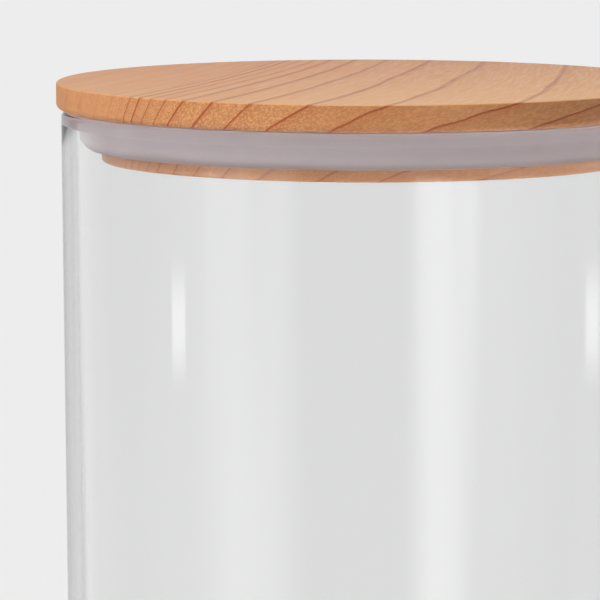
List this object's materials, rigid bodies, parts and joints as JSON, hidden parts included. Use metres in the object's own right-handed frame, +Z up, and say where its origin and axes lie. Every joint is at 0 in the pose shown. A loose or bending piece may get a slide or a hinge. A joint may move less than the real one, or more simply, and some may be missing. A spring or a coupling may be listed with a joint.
{
  "type": "glass canister",
  "caption": "Straight-walled clear glass storage canister with a turned wooden plug lid that a silicone ring seals in the bore.",
  "frame": {"origin": "centre of the jar's foot, on the surface it stands on", "axes": "+Z up along the axis that every piece is turned about; +X to the right and +Y away as the picture looks at it"},
  "size_m": [0.1016, 0.1016, 0.1596],
  "materials": {
    "clear_glass": "polished, clear",
    "oiled_wood": "fine-sanded and oiled, satin",
    "milky_silicone": "translucent, matte"
  },
  "bodies": {
    "jar": {"glass_jar": "clear_glass"},
    "seal": {"silicone_gasket": "milky_silicone"},
    "lid": {"wooden_lid": "oiled_wood"}
  },
  "joints": [
    {"name": "lid_lift", "type": "slide", "parent": "jar", "child": "seal", "axis": [0, 0, 1], "range_m": [0, 0.06]},
    {"name": "lid_turn", "type": "hinge", "parent": "seal", "child": "lid", "pos_m": [0, 0, 0.1553], "axis": [0, 0, 1], "continuous": true}
  ]
}
